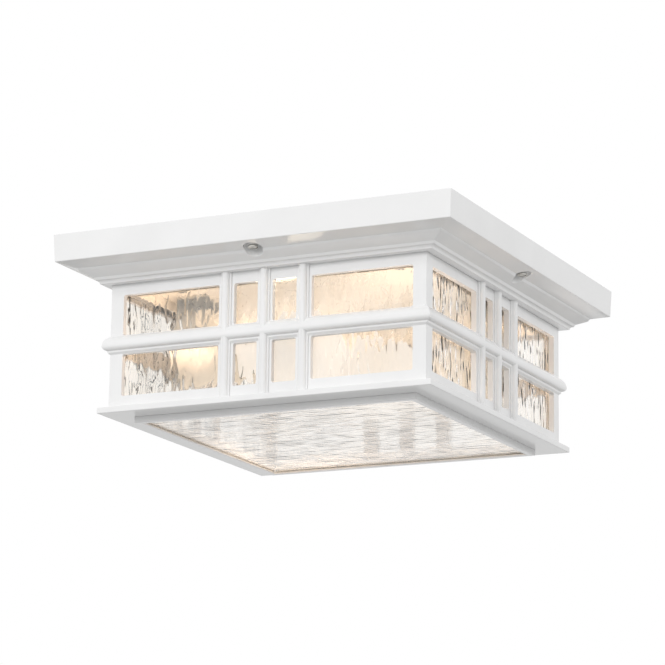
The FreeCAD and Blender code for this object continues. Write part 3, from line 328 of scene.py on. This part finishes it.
finishes = {
    "white_casting": whitePowderCoat(powderCoat),
    "water_glass": clearWaterGlass(waterGlass),
    "porcelain": glazedPorcelain(porcelain),
    "lamp_glass": litFrostedGlass(frostedGlass),
    "white_sheet": whiteEnamel(stovedEnamel),
}
for slotName, values in platings.items():
    finishes[slotName] = platedMetal(values)
for slotName, values in softGoods.items():
    finishes[slotName] = softStuff(values)
slotOf = {part["node"]: part["material_slot"] for part in frame["record"]["subparts"]}
for name, node in nodes.items():
    for slot in node.material_slots:
        slot.material = finishes[slotOf[name]]
print("finishes made:", len(finishes))


# cast and turned edges are broken by a little, and never sharp as the solids have them
softEdges = {
    "canopyCasting": {"node": "canopy", "body": "housing", "edge": 0.45 * mm, "shortest": 0.2 * mm},
    "flangeCasting": {"node": "bottom_flange", "body": "housing", "edge": 0.45 * mm, "shortest": 0.2 * mm},
    "trayCasting": {"node": "bottom_tray", "body": "housing", "edge": 0.3 * mm, "shortest": 0.2 * mm},
}
for side in ("front", "right", "back", "left"):
    softEdges[side + "Casting"] = {"node": side + "_frame", "body": "housing", "edge": 0.35 * mm,
                                   "shortest": 1 * mm, "sharpFoot": True}
for number in (1, 2, 3, 4):
    softEdges["fixingScrew%d" % number] = {"node": "fixing_screw_%d" % number, "body": "screw_%d" % number,
                                           "edge": 0.3 * mm, "shortest": 0.2 * mm}
softening = {"mergeWithin": 0.001 * mm, "flatWithin": math.radians(0.4), "sharpFrom": math.radians(32),
             "segments": 3, "footHeight": 0.01 * mm}


def softenedCopy(name, values):
    piece = bpy.data.objects.new(name, nodes[values["node"]].data.copy())
    scene.collection.objects.link(piece)
    selectOnly(piece)
    bpy.ops.mesh.customdata_custom_splitnormals_clear()  # the solid's own shading doesn't fit the new edges
    bpy.ops.object.mode_set(mode="EDIT")
    bpy.ops.mesh.select_mode(type="EDGE")
    bpy.ops.mesh.select_all(action="SELECT")
    bpy.ops.mesh.remove_doubles(threshold=softening["mergeWithin"])
    bpy.ops.mesh.dissolve_limited(angle_limit=softening["flatWithin"])
    bpy.ops.mesh.select_all(action="DESELECT")
    mesh = bmesh.from_edit_mesh(piece.data)
    foot = min(v.co.z for v in mesh.verts) + softening["footHeight"]
    for edge in mesh.edges:
        if not edge.is_convex or edge.calc_length() < values["shortest"]:
            continue
        if edge.calc_face_angle() < softening["sharpFrom"]:
            continue
        if values.get("sharpFoot") and max(v.co.z for v in edge.verts) < foot:
            continue  # it stands on the flange
        edge.select_set(True)
    bmesh.update_edit_mesh(piece.data)
    bpy.ops.mesh.bevel(offset=values["edge"], segments=softening["segments"], clamp_overlap=False,
                       affect="EDGES")
    bpy.ops.object.mode_set(mode="OBJECT")
    bpy.ops.object.shade_smooth_by_angle(angle=softening["sharpFrom"])
    applyModifier(piece, "WEIGHTED_NORMAL", keep_sharp=True)  # flat faces stay flat beside the softened edges
    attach(piece, values["body"])
    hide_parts(values["node"])


for name, values in softEdges.items():
    softenedCopy(name, values)
print("edges softened:", len(softEdges))


# waves are broad and drips are steep-edged; both are drawn out along the glass by the stretch
sideRipple = {"step": 0.55 * mm, "stretch": 4.0, "waveSize": 9 * mm, "waveDepth": 1.0 * mm,
              "dripSize": 5 * mm, "dripDepth": 0.3 * mm, "dripEdge": 0.06}
bottomRipple = {"step": 0.56 * mm, "stretch": 7.0, "waveSize": 2.6 * mm, "waveDepth": 0.16 * mm,
                "dripSize": 5 * mm, "dripDepth": 0.06 * mm, "dripEdge": 0.2}
panes = {
    "frontGlass": {"node": "front_pane", "turn": (90, 0, 0), "shift": 1, "ripple": sideRipple},
    "rightGlass": {"node": "right_pane", "turn": (90, 0, 90), "shift": 2, "ripple": sideRipple},
    "backGlass": {"node": "back_pane", "turn": (90, 0, 180), "shift": 3, "ripple": sideRipple},
    "leftGlass": {"node": "left_pane", "turn": (90, 0, 270), "shift": 4, "ripple": sideRipple},
    # its corners are cut off, clear of the tray's posts
    "bottomGlass": {"node": "bottom_pane", "turn": (180, 0, 90), "shift": 5, "ripple": bottomRipple,
                    "cornerCut": 8.5 * mm},
}
rolling = {"longStep": 1.6, "smoothWithin": math.radians(40)}  # steps along the ripples are longer


def pressPattern(piece, name, size, depth, edge=None):
    texture = bpy.data.textures.new(name, "CLOUDS")
    texture.noise_scale = size
    texture.noise_depth = 1
    if edge:
        # a steep step round each drip, and nearly flat glass on both sides of it
        texture.use_color_ramp = True
        low, high = texture.color_ramp.elements
        low.position, high.position = 0.5 - edge, 0.5 + edge
        low.color, high.color = (0, 0, 0, 1), (1, 1, 1, 1)
    applyModifier(piece, "DISPLACE", texture=texture, texture_coords="GLOBAL", direction="Z",
                  strength=depth, mid_level=0.5)


def rippledPane(name, values):
    ripple = values["ripple"]
    low, high = (Vector(corner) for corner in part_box(values["node"]))
    turn = [math.radians(angle) for angle in values["turn"]]
    middle = (low + high) / 2
    back = Matrix.Rotation(-turn[0], 3, "X") @ Matrix.Rotation(-turn[2], 3, "Z")
    size = [abs(c) for c in back @ (high - low)]
    bpy.ops.object.select_all(action="DESELECT")
    across = round(size[0] / ripple["step"])
    along = round(size[1] / ripple["step"] / rolling["longStep"])
    bpy.ops.mesh.primitive_grid_add(x_subdivisions=across, y_subdivisions=along, size=1)
    piece = bpy.context.object
    piece.name = name
    # the sheet is squeezed along its ripples while the pattern is pressed, then let out again
    piece.scale = (size[0], size[1] / ripple["stretch"], 1)
    bpy.ops.object.transform_apply(location=False, rotation=False, scale=True)
    piece.location = (values["shift"], 0, 0)  # each pane is cut from its own part of the pattern
    pressPattern(piece, name + "Waves", ripple["waveSize"], ripple["waveDepth"])
    pressPattern(piece, name + "Drips", ripple["dripSize"], ripple["dripDepth"], ripple["dripEdge"])
    piece.scale = (1, ripple["stretch"], 1)
    bpy.ops.object.transform_apply(location=False, rotation=False, scale=True)
    top = max(v.co.z for v in piece.data.vertices)
    piece.location = (0, 0, size[2] / 2 - top)
    bpy.ops.object.transform_apply(location=True, rotation=False, scale=False)
    # the rim is drawn down to the flat back, which is closed with one face
    bpy.ops.object.mode_set(mode="EDIT")
    bpy.ops.mesh.select_mode(type="EDGE")
    bpy.ops.mesh.select_all(action="SELECT")
    bpy.ops.mesh.region_to_loop()
    bpy.ops.mesh.extrude_edges_move(TRANSFORM_OT_translate={"value": (0, 0, -size[2])})
    bpy.ops.transform.resize(value=(1, 1, 0), center_override=(0, 0, -size[2] / 2))
    bpy.ops.mesh.edge_face_add()
    if "cornerCut" in values:
        for sideX in (-1, 1):
            for sideY in (-1, 1):
                corner = (sideX * (size[0] / 2 - values["cornerCut"]), sideY * size[1] / 2, 0)
                bpy.ops.mesh.select_all(action="SELECT")
                bpy.ops.mesh.bisect(plane_co=corner, plane_no=(sideX, sideY, 0), clear_outer=True,
                                    use_fill=True)
    bpy.ops.mesh.select_all(action="SELECT")
    bpy.ops.mesh.normals_make_consistent(inside=False)
    bpy.ops.object.mode_set(mode="OBJECT")
    piece.rotation_euler = turn
    piece.location = middle
    bpy.ops.object.transform_apply(location=True, rotation=True, scale=True)
    bpy.ops.object.shade_smooth_by_angle(angle=rolling["smoothWithin"])
    piece.data.materials.append(finishes["water_glass"])
    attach(piece, "housing")
    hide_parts(values["node"])


for name, values in panes.items():
    rippledPane(name, values)
print("panes rippled:", len(panes))


studioFloor = {"drop": 2.6, "size": 14.0, "colour": "#DCDCDB", "wearSize": 250 * mm, "gloss": (0.75, 0.85)}
paleRoom = {"seen": 1.0, "light": 0.53}  # what the camera, metal and glass see, and what lights the object
studioLamps = {
    "frontLamp": {"kind": "AREA", "place": (-0.6, -2.6, 0.9), "size": 1.8, "power": 38},
    "rightLamp": {"kind": "AREA", "place": (2.6, -0.4, 0.8), "size": 1.6, "power": 22},
    # the two lit lamps' light inside the body: on the reflector, between the globes and the panes
    "upwardGlow": {"kind": "AREA", "place": (0, 0, -0.113), "size": 0.21, "power": 0.13,
                   "colour": "#FFF0E0"},
    "frontGlow": {"kind": "POINT", "place": (0.075, -0.05, -0.08), "size": 0.012, "power": 0.04,
                  "colour": "#FFE6CF"},
    "backGlow": {"kind": "POINT", "place": (-0.07, 0.05, -0.1), "size": 0.02, "power": 0.1,
                 "colour": "#FFE2C6"},
    # the lit lamp's gleam through the top of the small windows, on the canopy's underside
    "gleam": {"kind": "SPOT", "place": (-0.021, -0.085, -0.072), "aim": (0.036, -0.1485, -0.0197),
              "size": 0.002, "power": 0.4, "cone": 44, "blend": 0.8, "colour": "#FFEED2"},
}
cornerGlow = {"spread": 0.088, "level": -0.066, "size": 0.01, "power": 0.04, "colour": "#FFE0C2"}
for number, (sideX, sideY) in enumerate(((-1, -1), (1, -1), (1, 1), (-1, 1)), 1):
    corner = (cornerGlow["spread"] * sideX, cornerGlow["spread"] * sideY, cornerGlow["level"])
    studioLamps["cornerGlow%d" % number] = {"kind": "POINT", "place": corner, "size": cornerGlow["size"],
                                            "power": cornerGlow["power"], "colour": cornerGlow["colour"]}
lightMiddle = (0, 0, -0.07)


def addFloor(values):
    bpy.ops.object.select_all(action="DESELECT")
    bpy.ops.mesh.primitive_plane_add(size=values["size"], location=(0, 0, -values["drop"]))
    floor = bpy.context.object
    floor.name = "studioFloor"
    material, tree, shader, place = newFinish("paleStudioFloor")
    wear = addNode(tree, "TexNoise", {"Scale": 1 / values["wearSize"]}, Vector=place)
    gloss = addNode(tree, "MapRange", {"To Min": values["gloss"][0], "To Max": values["gloss"][1]},
                    Value=wear.outputs["Fac"])
    tree.links.new(gloss.outputs["Result"], shader.inputs["Roughness"])
    shader.inputs["Base Color"].default_value = srgb(values["colour"])
    floor.data.materials.append(material)


def addWorld(values):
    world = bpy.data.worlds.new("paleStudio")
    scene.world = world
    world.use_nodes = True
    tree = world.node_tree
    ray = addNode(tree, "LightPath")
    seen = addNode(tree, "Math", {"operation": "MAXIMUM"})
    tree.links.new(ray.outputs["Is Camera Ray"], seen.inputs[0])
    tree.links.new(ray.outputs["Is Transmission Ray"], seen.inputs[1])
    mirrored = addNode(tree, "Math", {"operation": "MAXIMUM"})
    tree.links.new(seen.outputs["Value"], mirrored.inputs[0])
    tree.links.new(ray.outputs["Is Glossy Ray"], mirrored.inputs[1])
    level = addNode(tree, "MapRange", {"To Min": values["light"], "To Max": values["seen"]},
                    Value=mirrored.outputs["Value"])
    background = tree.nodes["Background"]
    background.inputs["Color"].default_value = (1, 1, 1, 1)
    tree.links.new(level.outputs["Result"], background.inputs["Strength"])


def addLamp(name, values):
    data = bpy.data.lights.new(name, values["kind"])
    data.energy = values["power"]
    if values["kind"] == "AREA":
        data.size = values["size"]
    else:
        data.shadow_soft_size = values["size"]
    if values["kind"] == "SPOT":
        data.spot_size = math.radians(values["cone"])
        data.spot_blend = values["blend"]
    data.color = srgb(values.get("colour", "#FFFFFF"))[:3]
    lamp = bpy.data.objects.new(name, data)
    scene.collection.objects.link(lamp)
    lamp.visible_camera = False
    lamp.visible_transmission = False
    lamp.visible_glossy = False
    lamp.location = values["place"]
    aim = Vector(values.get("aim", lightMiddle)) - lamp.location
    lamp.rotation_euler = aim.to_track_quat("-Z", "Y").to_euler()


addFloor(studioFloor)
addWorld(paleRoom)
for name, values in studioLamps.items():
    addLamp(name, values)
scene.view_settings.view_transform = "Standard"
print("studio lit")
